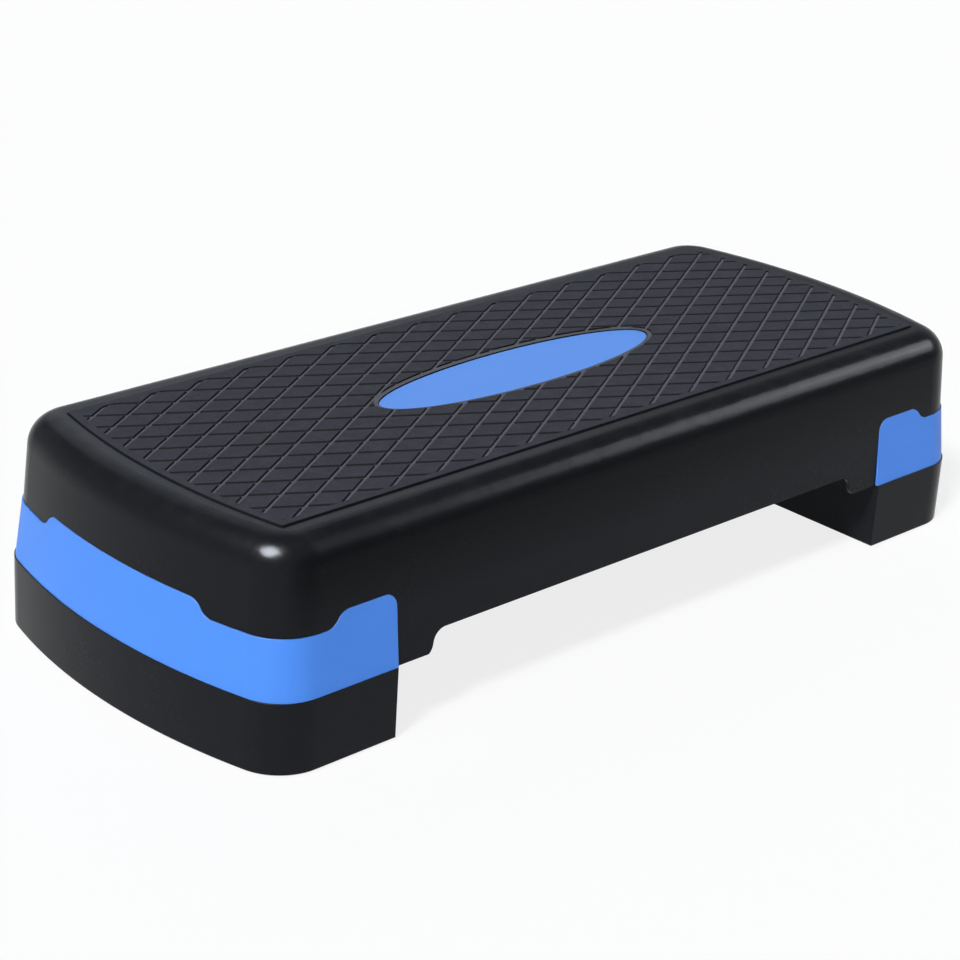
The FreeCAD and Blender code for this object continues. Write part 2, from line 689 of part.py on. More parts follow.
def make_riser():
    """Right riser: shell open below, ribs, pad cups underneath and pegs on top."""
    outer = riser_form("riser_outer", "0", RISER_FOOT, LEG_FOOT)
    hollow = riser_form("riser_hollow", "Sizes.riser_wall", f"({RISER_FOOT} - Sizes.overrun)",
                        RISER_PLATE_UNDERSIDE)
    core = riser_form("riser_core", "(Sizes.riser_wall / 2)", RISER_FOOT, LEG_FOOT)
    shell = cut("riser_shell", outer, hollow)

    low = f"({RISER_FOOT} + Sizes.riser_rib_gap)"
    top = f"({RISER_PLATE_UNDERSIDE} + Sizes.rib_root)"
    rows = ["0"] + PEG_ROWS + PAD_ROWS
    inner = [
        rib_along(f"riser_rib_row_{index}", row, RISER_INSIDE, FAR_END, low, top)
        for index, row in enumerate(rows)
    ]
    inner += [
        wall_across(f"riser_rib_{index}", f"{along} - Sizes.rib_wall / 2", "Sizes.rib_wall", low, top)
        for index, along in enumerate(RISER_RIBS)
    ]
    cup_radius = "Sizes.riser_pad_radius + Sizes.pad_clearance + Sizes.pad_cup_wall"
    cup_height = "Sizes.riser_pad_thickness - Sizes.riser_pad_stand + Sizes.pad_cup_wall"
    spots = [(along, row) for along in RISER_RIBS for row in PAD_ROWS]
    inner += [
        rod(f"pad_cup_{index}", (along, row, RISER_FOOT), cup_radius, cup_height)
        for index, (along, row) in enumerate(spots)
    ]
    ribs = common("riser_ribs", [fuse("riser_rib_grid", inner), core])
    blanks = at_cells("peg_blank", PEG_ROWS, RISER_PLATE_UNDERSIDE, "Sizes.peg_radius",
                      "Sizes.riser_top + Sizes.peg_height")
    pegs = [
        bevelled(f"riser_peg_{index}", peg, at_level(f"{LEG_FOOT} + Sizes.peg_height"), "Sizes.peg_bevel")
        for index, peg in enumerate(blanks)
    ]
    bores = at_cells("peg_bore", PEG_ROWS, f"{RISER_PLATE_UNDERSIDE} - Sizes.rib_root",
                     "Sizes.peg_radius - Sizes.peg_wall",
                     "Sizes.rib_root + Sizes.riser_top + Sizes.peg_height - Sizes.peg_wall")
    pockets = at_cells("cap_pad_room", PAD_ROWS, f"{LEG_FOOT} - Sizes.cap_pad_stand - Sizes.cap_pad_room",
                       "Sizes.cap_pad_radius + Sizes.cap_pad_room + Sizes.pad_clearance",
                       "Sizes.cap_pad_stand + Sizes.cap_pad_room + Sizes.overrun")
    recesses = [
        rod(f"pad_recess_{index}", (along, row, f"{RISER_FOOT} - Sizes.overrun"),
            "Sizes.riser_pad_radius + Sizes.pad_clearance",
            "Sizes.riser_pad_thickness - Sizes.riser_pad_stand + Sizes.overrun")
        for index, (along, row) in enumerate(spots)
    ]
    solid = fuse("riser_solid", [shell, ribs] + pegs)
    return cut("right_riser", solid, fuse("riser_holes", bores + pockets + recesses))


def make_pads(owner, places, low, radius, thickness):
    """Bevelled rubber discs at the right end, by name."""
    discs = {}
    for (along_name, along), (row_name, row) in places:
        name = f"right_{owner}_{row_name}_{along_name}_pad"
        disc = rod(f"{name}_disc", (along, row, low), radius, thickness)
        discs[name] = bevelled(name, disc, at_level(low), "Sizes.pad_bevel")
    return discs


def make_all_pads():
    """Pads under the right cap and under the right riser."""
    rows = list(zip(("front", "back"), PAD_ROWS))
    cap_places = [(column, row) for column in zip(("inner", "outer"), CELLS) for row in rows]
    pads = make_pads("cap", cap_places, f"({LEG_FOOT} - Sizes.cap_pad_stand)",
                     "Sizes.cap_pad_radius", "Sizes.cap_pad_thickness")
    riser_places = [(column, row) for column in zip(("inner", "outer"), RISER_RIBS) for row in rows]
    pads.update(make_pads("riser", riser_places, "0", "Sizes.riser_pad_radius", "Sizes.riser_pad_thickness"))
    return pads


def write_nodes(nodes):
    """Check the whole document and every node's shape, then write one file for each node."""
    doc.recompute()
    failed = [item.Name for item in doc.Objects if "Invalid" in item.State or "Error" in item.State]
    if failed:
        raise RuntimeError("failed objects: " + ", ".join(failed))
    for name, node in nodes.items():
        if node.Shape.isNull() or not node.Shape.isValid():
            raise RuntimeError("bad shape: " + name)
        print(name, "solids", len(node.Shape.Solids), "volume", round(node.Shape.Volume))
    os.makedirs("parts", exist_ok=True)
    for name, node in nodes.items():
        node.Shape.exportStep(f"parts/{name}.step")


right_nodes = {"right_end_cap": make_cap(), "right_cap_screws": make_screws(), "right_riser": make_riser()}
right_nodes.update(make_all_pads())
all_nodes = {"deck_shell": make_deck(), "tread_mat": make_mat(), "oval_plaque": make_plaque()}
for right_name, right_node in right_nodes.items():
    left_name = right_name.replace("right", "left")
    all_nodes[right_name] = right_node
    all_nodes[left_name] = mirror(left_name, right_node)
write_nodes(all_nodes)
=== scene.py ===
"""Looks of an aerobic step platform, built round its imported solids.

Sizes are metres, in the frame of the solids: X along the step, Y across it, Z up from the floor.
"""

import logging
import math
from dataclasses import dataclass, replace
from enum import Enum
from typing import Any

import bmesh
import bpy
from bpy.types import ID, Material, Node, NodeTree, Object
from bpy.types import NodeSocket as Socket
from mathutils import Matrix, Quaternion, Vector

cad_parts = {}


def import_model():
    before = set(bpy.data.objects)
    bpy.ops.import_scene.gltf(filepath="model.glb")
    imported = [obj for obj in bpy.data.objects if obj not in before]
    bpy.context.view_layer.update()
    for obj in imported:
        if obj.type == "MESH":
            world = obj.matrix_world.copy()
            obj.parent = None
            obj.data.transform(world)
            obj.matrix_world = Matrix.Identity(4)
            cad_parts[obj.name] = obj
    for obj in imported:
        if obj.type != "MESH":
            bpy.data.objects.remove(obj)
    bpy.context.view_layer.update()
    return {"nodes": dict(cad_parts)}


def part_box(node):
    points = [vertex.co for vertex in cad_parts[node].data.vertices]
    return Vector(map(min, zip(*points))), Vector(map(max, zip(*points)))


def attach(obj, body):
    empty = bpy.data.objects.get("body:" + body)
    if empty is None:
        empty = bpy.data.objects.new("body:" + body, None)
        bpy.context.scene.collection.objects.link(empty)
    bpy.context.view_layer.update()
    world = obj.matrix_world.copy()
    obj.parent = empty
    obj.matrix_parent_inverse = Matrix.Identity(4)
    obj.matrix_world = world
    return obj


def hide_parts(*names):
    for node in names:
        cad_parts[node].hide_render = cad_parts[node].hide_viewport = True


LOG = logging.getLogger("step_platform")
CREASE = math.radians(40)
WHITE = (1.0, 1.0, 1.0)

Colour = tuple[float, float, float]
Range = tuple[float, float]
Loop = list[Range]


class Slot(Enum):
    """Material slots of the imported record."""

    BLACK = "black_plastic"
    BLUE = "blue_plastic"
    TREAD = "tread_rubber"
    FOOT = "pad_rubber"
    STEEL = "screw_steel"


class Body(Enum):
    """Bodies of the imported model."""

    DECK = "deck"
    LEFT = "left_riser"
    RIGHT = "right_riser"


class End(Enum):
    """Ends of the step, as the solids name them."""

    LEFT = "left"
    RIGHT = "right"


class LampUse(Enum):
    """Light that a lamp gives: all of it, highlights alone, or all but highlights."""

    ALL = "all"
    GLOSS = "gloss"
    MATT = "matt"


def linear(shade: int) -> float:
    """Linear strength of a display shade from 0 to 255, by the sRGB curve."""
    share = shade / 255
    return share / 12.92 if share <= 0.04045 else ((share + 0.055) / 1.055) ** 2.4


def from_srgb(red: int, green: int, blue: int) -> Colour:
    """Linear colour of a display colour with shades from 0 to 255."""
    return (linear(red), linear(green), linear(blue))


def toned(colour: Colour, factor: float) -> Colour:
    """Colour made lighter or darker by a factor."""
    return (colour[0] * factor, colour[1] * factor, colour[2] * factor)


def direction(azimuth: float, elevation: float) -> Vector:
    """Unit vector towards an azimuth, 0 in front and 90 on the right, and an elevation, in degrees."""
    turn, rise = math.radians(azimuth), math.radians(elevation)
    return Vector((math.sin(turn) * math.cos(rise), -math.cos(turn) * math.cos(rise), math.sin(rise)))


@dataclass
class NodeSheet:
    """Short way to fill a shader or geometry tree."""

    tree: NodeTree

    def feed(self, socket: Socket, value: Any) -> None:
        """Link or set an input.

        Args:
            socket: the input.
            value: output that feeds it, list of such outputs, or its own value; three numbers make a colour.
        """
        if isinstance(value, list):
            for source in value:
                self.tree.links.new(source, socket)
        elif isinstance(value, Socket):
            self.tree.links.new(value, socket)
        elif socket.type == "RGBA":
            socket.default_value = (*value, 1.0)
        else:
            socket.default_value = value

    def add(self, kind: str, inputs: dict[Any, Any] | None = None, **settings: Any) -> Node:
        """Add a node.

        Args:
            kind: node type.
            inputs: what feeds each input, by the input's name or index.
            settings: properties of the node.

        Returns:
            The new node.
        """
        node = self.tree.nodes.new(kind)
        for name, value in settings.items():
            setattr(node, name, value)
        for key, value in (inputs or {}).items():
            self.feed(node.inputs[key], value)
        return node

    def math(self, operation: str, first: Any, second: Any = 0.0) -> Socket:
        """Result of a Math node on two values or sockets."""
        return self.add("ShaderNodeMath", {0: first, 1: second}, operation=operation).outputs[0]

    def times(self, first: Any, second: Any) -> Socket:
        """Product of two values or sockets."""
        return self.math("MULTIPLY", first, second)

    def between(self, value: Any, low: float, high: float, to_low: float = 0.0,
                to_high: float = 1.0) -> Socket:
        """Value carried from the range low to high to the range to_low to to_high, and held within it."""
        inputs = {"Value": value, "From Min": low, "From Max": high, "To Min": to_low, "To Max": to_high}
        return self.add("ShaderNodeMapRange", inputs).outputs["Result"]

    def axis(self, vector: Socket, letter: str) -> Socket:
        """X, Y or Z of a vector."""
        return self.add("ShaderNodeSeparateXYZ", {0: vector}).outputs[letter]


class ShaderSheet(NodeSheet):
    """Node sheet of a shader tree, with what it reads of the surface."""

    def place(self) -> Socket:
        """Place on the object, in its own coordinates."""
        return self.add("ShaderNodeTexCoord").outputs["Object"]

    def normal(self) -> Socket:
        """Shaded normal of the surface."""
        return self.add("ShaderNodeNewGeometry").outputs["Normal"]

    def cloud(self, scale: Any, detail: float, roughness: float = 0.5, distortion: float = 0.0) -> Socket:
        """Noise over the object, about 0.5."""
        inputs = {"Vector": self.place(), "Scale": scale, "Detail": detail, "Roughness": roughness}
        return self.add("ShaderNodeTexNoise", {**inputs, "Distortion": distortion}).outputs["Fac"]

    def blend(self, mask: Any, first: Any, second: Any) -> Socket:
        """Colour that goes from first to second with a mask."""
        return self.add("ShaderNodeMix", {0: mask, 6: first, 7: second}, data_type="RGBA").outputs[2]

    def speckle(self, mask: Any, colour: Colour, spread: float) -> Socket:
        """Colour that a mask takes from darker to lighter, by a share either way."""
        return self.blend(mask, toned(colour, 1 - spread), toned(colour, 1 + spread))


class GroupSheet(ShaderSheet):
    """Node sheet of a shader group."""

    def __init__(self, name: str, **inputs: float) -> None:
        """Make the group.

        Args:
            name: name of the group.
            inputs: default value of each input.
        """
        super().__init__(bpy.data.node_groups.new(name, "ShaderNodeTree"))
        for label, value in inputs.items():
            socket = self.tree.interface.new_socket(label, in_out="INPUT", socket_type="NodeSocketFloat")
            socket.default_value = value
        self.given = self.add("NodeGroupInput").outputs

    def close(self, **outputs: Socket) -> NodeTree:
        """End the group with its outputs.

        Args:
            outputs: what feeds each output.

        Returns:
            The group's tree.
        """
        for label in outputs:
            self.tree.interface.new_socket(label, in_out="OUTPUT", socket_type="NodeSocketFloat")
        self.add("NodeGroupOutput", outputs)
        return self.tree


@dataclass
class Effects:
    """Shader groups that several finishes share, each built once."""

    pit_share: float = 0.6
    cloud_share: float = 0.45
    fleck_range: Range = (0.35, 0.65)
    drift_range: Range = (0.3, 0.7)
    edge_turn: Range = (0.97, 0.80)
    rub_scale: float = 140.0
    rub_range: Range = (0.42, 0.66)
    rub_least: float = 0.15
    dust_turn: Range = (0.5, 1.0)
    dust_scale: float = 60.0
    dust_range: Range = (0.45, 0.75)

    def __post_init__(self) -> None:
        """Build every group."""
        self._make_grain()
        self._make_drift()
        self._make_edge_rub()
        self._make_dust()

    def _make_grain(self) -> None:
        """Fine texture that an etched mould leaves: Height for a bump and Fleck for colour."""
        sheet = GroupSheet("moulded_grain", Scale=1500.0)
        scale = sheet.given["Scale"]
        at = {"Vector": sheet.place(), "Scale": scale}
        pits = sheet.add("ShaderNodeTexVoronoi", at, feature="SMOOTH_F1").outputs["Distance"]
        cloud = sheet.cloud(sheet.times(scale, self.cloud_share), detail=3.0, roughness=0.6)
        height = sheet.math("ADD", sheet.times(pits, self.pit_share), cloud)
        self.grain = sheet.close(Height=height, Fleck=sheet.between(cloud, *self.fleck_range))

    def _make_drift(self) -> None:
        """Broad, soft unevenness of a surface, from 0 to 1."""
        sheet = GroupSheet("broad_drift", Scale=9.0)
        cloud = sheet.cloud(sheet.given["Scale"], detail=4.0, roughness=0.55, distortion=0.4)
        self.drift = sheet.close(Value=sheet.between(cloud, *self.drift_range))

    def _make_edge_rub(self) -> None:
        """Mask of edges that hands and floors rub, broken up by noise."""
        sheet = GroupSheet("edge_rub", Radius=0.0012, Amount=0.5)
        soft = sheet.add("ShaderNodeBevel", {"Radius": sheet.given["Radius"]}, samples=4).outputs["Normal"]
        turn = sheet.add("ShaderNodeVectorMath", {0: soft, 1: sheet.normal()}, operation="DOT_PRODUCT")
        edge = sheet.between(turn.outputs["Value"], *self.edge_turn)
        patches = sheet.between(sheet.cloud(self.rub_scale, detail=4.0), *self.rub_range, self.rub_least)
        self.edge_rub = sheet.close(Mask=sheet.times(sheet.times(edge, patches), sheet.given["Amount"]))

    def _make_dust(self) -> None:
        """Mask of the faint dust that settles on faces that look up."""
        sheet = GroupSheet("settled_dust", Amount=0.3)
        facing = sheet.between(sheet.axis(sheet.normal(), "Z"), *self.dust_turn)
        cloud = sheet.cloud(self.dust_scale, detail=6.0, roughness=0.7)
        patchy = sheet.times(facing, sheet.between(cloud, *self.dust_range))
        self.dust = sheet.close(Mask=sheet.times(patchy, sheet.given["Amount"]))


class FinishSheet(ShaderSheet):
    """Node sheet of one material, with its shader in place."""

    def __init__(self, name: str) -> None:
        """Make the material.

        Args:
            name: name of the material.
        """
        self.material = bpy.data.materials.new(name)
        self.material.use_nodes = True
        super().__init__(self.material.node_tree)
        self.shader = self.tree.nodes["Principled BSDF"]

    def effect(self, group: NodeTree, **values: float) -> Any:
        """Outputs of a shared effect, placed with this finish's values."""
        return self.add("ShaderNodeGroup", values, node_tree=group).outputs

    def wire(self, inputs: dict[str, Any]) -> Material:
        """Link or set the shader's inputs.

        Args:
            inputs: what feeds each input.

        Returns:
            The material.
        """
        for name, value in inputs.items():
            self.feed(self.shader.inputs[name], value)
        return self.material


@dataclass(frozen=True)
class Grain:
    """Relief of a finish, over edges that are softened at a radius."""

    scale: float
    depth: float
    strength: float
    edge_radius: float

    def lay(self, sheet: FinishSheet, groups: Effects) -> Socket:
        """Wire the relief to the shader.

        Args:
            sheet: sheet of the material.
            groups: shared effects.

        Returns:
            The grain's fleck, for colour and roughness.
        """
        grain = sheet.effect(groups.grain, Scale=self.scale)
        soft = sheet.add("ShaderNodeBevel", {"Radius": self.edge_radius}, samples=6).outputs["Normal"]
        bump = sheet.add("ShaderNodeBump", {"Strength": self.strength, "Distance": self.depth,
                                            "Height": grain["Height"], "Normal": soft})
        sheet.wire({"Normal": bump.outputs["Normal"]})
        return grain["Fleck"]


@dataclass(frozen=True)
class MouldedPlastic:
    """Satin plastic from an etched mould, which may carry painted shade towards the top of its long walls.
    """

    name: str
    colour: Colour
    rubbed: Colour
    roughness: Range
    gloss: float
    dust: Colour = from_srgb(170, 168, 164)
    grain: Grain = Grain(1500.0, 0.00004, 0.15, 0.0007)
    drift_scale: float = 7.0
    rub_amount: float = 0.15
    dust_amount: float = 0.05
    shade_spread: float = 0.10
    fleck_rough: float = 0.04
    sheen: Colour = WHITE
    # Painted shade: the share by which the long walls are darkened towards the top, standing in for a dimmer
    # reflection there.
    painted_wall_shade: float = 0.0
    wall_turn: Range = (0.75, 0.97)
    shade_heights: Range = (0.085, 0.125)

    def painted_wall_shade_mask(self, sheet: FinishSheet) -> Socket:
        """Mask of the painted shade, which grows towards the top of the long walls."""
        on_wall = sheet.between(sheet.math("ABSOLUTE", sheet.axis(sheet.normal(), "Y")), *self.wall_turn)
        return sheet.times(on_wall, sheet.between(sheet.axis(sheet.place(), "Z"), *self.shade_heights))

    def build(self, groups: Effects) -> Material:
        """Material of this plastic.

        Args:
            groups: shared effects.

        Returns:
            The material.
        """
        sheet = FinishSheet(self.name)
        drift = sheet.effect(groups.drift, Scale=self.drift_scale)["Value"]
        fleck = self.grain.lay(sheet, groups)
        mottle = sheet.times(sheet.math("ADD", fleck, drift), 0.5)
        colour = sheet.speckle(mottle, self.colour, self.shade_spread)
        # Painted shade: darker base colour towards the top of the long walls.
        if self.painted_wall_shade:
            painted_shade = toned(self.colour, 1 - self.painted_wall_shade)
            colour = sheet.blend(self.painted_wall_shade_mask(sheet), colour, painted_shade)
        rub = sheet.effect(groups.edge_rub, Amount=self.rub_amount)["Mask"]
        dust = sheet.effect(groups.dust, Amount=self.dust_amount)["Mask"]
        colour = sheet.blend(dust, sheet.blend(rub, colour, self.rubbed), self.dust)
        rough = sheet.between(drift, 0.0, 1.0, *self.roughness)
        rough = sheet.math("ADD", rough, sheet.times(fleck, self.fleck_rough))
        return sheet.wire({"Base Color": colour, "Roughness": rough, "Specular IOR Level": self.gloss,
                           "Specular Tint": self.sheen})


@dataclass(frozen=True)
class TreadRubber:
    """Grippy rubber: matt pads whose sides carry painted shade, and smoother floors in the grooves between
    them, painted lighter as a sheen.
    """

    mat: "TreadMat"
    name: str = "tread_rubber_diamonds"
    pad: Colour = from_srgb(49, 50, 59)
    # Painted sheen: the groove floors are painted lighter than the pads, standing in for their grazing
    # reflection.
    groove: Colour = from_srgb(88, 89, 97)
    # Painted shade: dark colour of the pad walls and of the shadow lines at the mat's edge and round the
    # plaque.
    painted_side_shade: Colour = from_srgb(22, 22, 25)
    dust: Colour = from_srgb(120, 119, 117)
    pad_spread: float = 0.14
    groove_spread: float = 0.08
    dust_amount: float = 0.10
    # Painted shadow line: width of the dark band along the mat's edge and round the plaque.
    painted_shadow_line: float = 0.0006
    top_turn: Range = (0.5, 0.9)
    pad_roughness: float = 0.72
    groove_roughness: float = 0.62
    drift_rough: float = 0.06
    drift_scale: float = 14.0
    grain: Grain = Grain(1100.0, 0.00006, 0.35, 0.0003)
    gloss: float = 0.05

    def inset(self, sheet: FinishSheet, border: float) -> Socket:
        """Mask of the mat inside a border and off the painted shadow line round the plaque.

        Args:
            sheet: sheet of the material.
            border: width of the border.

        Returns:
            The mask's socket.
        """
        mat = self.mat
        place = sheet.place()
        along, deep = (sheet.math("ABSOLUTE", sheet.axis(place, letter)) for letter in "XY")
        share = sheet.math("DIVIDE", deep, mat.depth / 2)
        bowed = sheet.math("ADD", along, sheet.times(sheet.math("POWER", share, 2.0), mat.bow))
        inside_end = sheet.math("LESS_THAN", bowed, mat.length / 2 - border)
        inside_side = sheet.math("LESS_THAN", deep, mat.depth / 2 - border)
        # Painted shadow line: a thin band round the plaque's window falls outside the mask.
        squares = [sheet.math("POWER", sheet.math("DIVIDE", value, size / 2 + self.painted_shadow_line), 2.0)
                   for value, size in ((along, mat.oval_length), (deep, mat.oval_depth))]
        off_oval_shadow_line = sheet.math("GREATER_THAN", sheet.math("ADD", *squares), 1.0)
        return sheet.times(sheet.times(inside_end, inside_side), off_oval_shadow_line)

    def build(self, groups: Effects) -> Material:
        """Material of the mat.

        Args:
            groups: shared effects.

        Returns:
            The material.
        """
        sheet = FinishSheet(self.name)
        flat = sheet.add("ShaderNodeNewGeometry").outputs["True Normal"]
        facing = sheet.between(sheet.axis(flat, "Z"), *self.top_turn)
        below = sheet.math("LESS_THAN", sheet.axis(sheet.place(), "Z"), self.mat.pad_level)
        floor = sheet.times(below, self.inset(sheet, self.mat.border))
        # Painted shadow line: a thin band along the mat's outer edge falls outside this mask.
        off_painted_shadow_line = self.inset(sheet, self.painted_shadow_line)
        fleck = self.grain.lay(sheet, groups)
        drift = sheet.effect(groups.drift, Scale=self.drift_scale)["Value"]
        pad = sheet.speckle(fleck, self.pad, self.pad_spread)
        # Painted sheen: lighter colour of the groove floors.
        groove = sheet.speckle(fleck, self.groove, self.groove_spread)
        # Painted shade: walls, and the shadow lines below the pad level, take the dark side colour; the rest
        # takes pad or groove colour.
        rim_top = sheet.math("SUBTRACT", 1.0, sheet.math("MAXIMUM", below, off_painted_shadow_line))
        lit = sheet.math("MAXIMUM", sheet.times(facing, off_painted_shadow_line), rim_top)
        colour = sheet.blend(lit, self.painted_side_shade, sheet.blend(floor, pad, groove))
        dust = sheet.effect(groups.dust, Amount=self.dust_amount)["Mask"]
        rough = sheet.between(floor, 0.0, 1.0, self.pad_roughness, self.groove_roughness)
        rough = sheet.math("ADD", rough, sheet.times(drift, self.drift_rough))
        return sheet.wire({"Base Color": sheet.blend(dust, colour, self.dust), "Roughness": rough,
                           "Specular IOR Level": self.gloss})


@dataclass(frozen=True)
class FootRubber:
    """Plain dark rubber of the feet, dulled where it meets the floor."""

    name: str = "foot_rubber"
    colour: Colour = from_srgb(38, 38, 40)
    worn: Colour = from_srgb(78, 77, 75)
    shade_spread: float = 0.15
    rub_radius: float = 0.001
    rub_amount: float = 0.6
    roughness: Range = (0.74, 0.86)
    grain: Grain = Grain(900.0, 0.00006, 0.35, 0.0003)
    gloss: float = 0.3

    def build(self, groups: Effects) -> Material:
        """Material of the feet.

        Args:
            groups: shared effects.

        Returns:
            The material.
        """
        sheet = FinishSheet(self.name)
        fleck = self.grain.lay(sheet, groups)
        rub = sheet.effect(groups.edge_rub, Radius=self.rub_radius, Amount=self.rub_amount)["Mask"]
        colour = sheet.speckle(fleck, self.colour, self.shade_spread)
        rough = sheet.between(fleck, 0.0, 1.0, *self.roughness)
        return sheet.wire({"Base Color": sheet.blend(rub, colour, self.worn), "Roughness": rough,
                           "Specular IOR Level": self.gloss})


@dataclass(frozen=True)
class ScrewSteel:
    """Bright zinc-plated steel with faint turning marks."""

    name: str = "zinc_plated_steel"
    colour: Colour = from_srgb(196, 198, 202)
    stained: Colour = from_srgb(150, 146, 138)
    roughness: Range = (0.24, 0.38)
    drift_scale: float = 160.0
    grain: Grain = Grain(2600.0, 0.00002, 0.3, 0.0002)

    def build(self, groups: Effects) -> Material:
        """Material of the screws.

        Args:
            groups: shared effects.

        Returns:
            The material.
        """
        sheet = FinishSheet(self.name)
        drift = sheet.effect(groups.drift, Scale=self.drift_scale)["Value"]
        rough = sheet.between(self.grain.lay(sheet, groups), 0.0, 1.0, *self.roughness)
        return sheet.wire({"Base Color": sheet.blend(drift, self.colour, self.stained), "Roughness": rough,
                           "Metallic": 1.0})


@dataclass(frozen=True)
class StudioPaper:
    """Pale, matt floor with a barely visible tooth.

    Part of it glows white, so that shadows stay faint, and it is clear from below, so that it hides nothing.
    """

    name: str = "pale_floor"
    colour: Colour = from_srgb(250, 250, 250)
    darkest: float = 0.99
    drift_scale: float = 1.5
    roughness: float = 0.9
    gloss: float = 0.1
    glow_share: float = 0.82

    def build(self, groups: Effects) -> Material:
        """Material of the floor.

        Args:
            groups: shared effects.

        Returns:
            The material.
        """
        sheet = FinishSheet(self.name)
        drift = sheet.effect(groups.drift, Scale=self.drift_scale)["Value"]
        sheet.wire({"Base Color": sheet.blend(drift, toned(self.colour, self.darkest), self.colour),
                    "Roughness": self.roughness, "Specular IOR Level": self.gloss})
        rays = sheet.add("ShaderNodeLightPath").outputs
        mirrored = sheet.math("MAXIMUM", rays["Is Glossy Ray"], rays["Is Transmission Ray"])
        seen = sheet.times(sheet.math("MAXIMUM", rays["Is Camera Ray"], mirrored), self.glow_share)
        glow = sheet.add("ShaderNodeEmission", {"Strength": 1.0}).outputs["Emission"]
        paper = sheet.add("ShaderNodeMixShader", {0: seen, 1: sheet.shader.outputs["BSDF"], 2: glow})
        clear = sheet.add("ShaderNodeBsdfTransparent").outputs["BSDF"]
        behind = sheet.add("ShaderNodeNewGeometry").outputs["Backfacing"]
        sided = sheet.add("ShaderNodeMixShader", {0: behind, 1: paper.outputs["Shader"], 2: clear})
        sheet.feed(sheet.tree.nodes["Material Output"].inputs["Surface"], sided.outputs["Shader"])
        return sheet.material


class Finishes:
    """All materials of the step: one for each slot, and a paler one for the plaque, whose lighter blue is a
    painted sheen.
    """

    def __init__(self, groups: Effects, mat: "TreadMat") -> None:
        """Build the materials.

        Args:
            groups: shared effects.
            mat: mat whose sizes part its pads from its grooves.
        """
        # The black's wall shade is painted shade: its long walls are darker towards the top.
        black = MouldedPlastic("satin_black_plastic", from_srgb(25, 26, 29), from_srgb(74, 74, 78),
                               roughness=(0.19, 0.25), gloss=0.075, dust_amount=0.02,
                               sheen=(0.86, 0.91, 1.0), painted_wall_shade=0.75)
        blue = MouldedPlastic("satin_blue_plastic", from_srgb(71, 136, 232), from_srgb(140, 182, 246),
                              roughness=(0.39, 0.45), gloss=0.2, shade_spread=0.03,
                              grain=Grain(1500.0, 0.00003, 0.15, 0.0007))
        # Painted sheen: the plaque's blue and its rubbed blue are paler than the caps', for the sky that its
        # top reflects.
        plate = replace(blue, name="satin_blue_plate_painted_sheen", colour=from_srgb(86, 148, 240),
                        rubbed=from_srgb(150, 190, 248))
        self.plate = plate.build(groups)
        chosen = {Slot.BLACK: black, Slot.BLUE: blue, Slot.TREAD: TreadRubber(mat), Slot.FOOT: FootRubber(),
                  Slot.STEEL: ScrewSteel()}
        self.by_slot = {slot: finish.build(groups) for slot, finish in chosen.items()}

    def __getitem__(self, slot: Slot) -> Material:
        """Material of a slot."""
        return self.by_slot[slot]


def linked(name: str, data: ID) -> Object:
    """New object in the scene, at the origin.

    Args:
        name: name of the object.
        data: its mesh, lamp or camera.

    Returns:
        The object.
    """
    piece = bpy.data.objects.new(name, data)
    bpy.context.scene.collection.objects.link(piece)
    return piece


def stack(name: str, loops: list[list[Vector]], closed: bool = False) -> Object:
    """Solid skinned through a stack of loops, with its faces turned outwards.

    Args:
        name: name of the object and its mesh.
        loops: loops of equally many points, from one end to the other.
        closed: True if the last loop joins the first, which leaves a hole through the middle.

    Returns:
        The new object.
    """
    work = bmesh.new()
    rings = [[work.verts.new(point) for point in loop] for loop in loops]
    for low, high in zip(rings, rings[1:] + rings[:1] if closed else rings[1:]):
        for index, corner in enumerate(low):
            after = (index + 1) % len(low)
            work.faces.new((corner, low[after], high[after], high[index]))
    if not closed:
        work.faces.new(rings[0])
        work.faces.new(rings[-1])
    bmesh.ops.recalc_face_normals(work, faces=work.faces)
    mesh = bpy.data.meshes.new(name)
    work.to_mesh(mesh)
    work.free()
    return linked(name, mesh)


def hoop(name: str, outer: Loop, inner: Loop, low: float, high: float) -> Object:
    """Flat ring between two outlines of equally many points, from a low to a high level."""
    loops = ((inner, low), (outer, low), (outer, high), (inner, high))
    return stack(name, [[Vector((x, y, level)) for x, y in loop] for loop, level in loops], closed=True)


def oval(half_length: float, half_depth: float, turns: list[float]) -> Loop:
    """Points of an oval at some turns."""
    return [(half_length * math.cos(turn), half_depth * math.sin(turn)) for turn in turns]


def circuit(points: int) -> list[float]:
    """Turns of evenly spread points round a loop."""
    return [2 * math.pi * index / points for index in range(points)]


def lathe(name: str, profile: Loop, sides: int) -> Object:
    """Turned solid about the Z axis, from the radius and height of each loop, with so many sides."""
    turns = circuit(sides)
    return stack(name, [[Vector((x, y, height)) for x, y in oval(radius, radius, turns)]
                        for radius, height in profile])


def baked(piece: Object, name: str, *helpers: Object) -> Object:
    """Plain mesh object of what a piece's modifiers give; the piece and its helpers are removed.

    Args:
        piece: object with live modifiers.
        name: name of the new object.
        helpers: objects that only the modifiers read.

    Returns:
        The new object, at the origin.
    """
    graph = bpy.context.evaluated_depsgraph_get()
    mesh = bpy.data.meshes.new_from_object(piece.evaluated_get(graph), depsgraph=graph)
    mesh.name = name
    for spent in (piece, *helpers):
        bpy.data.objects.remove(spent)
    return linked(name, mesh)


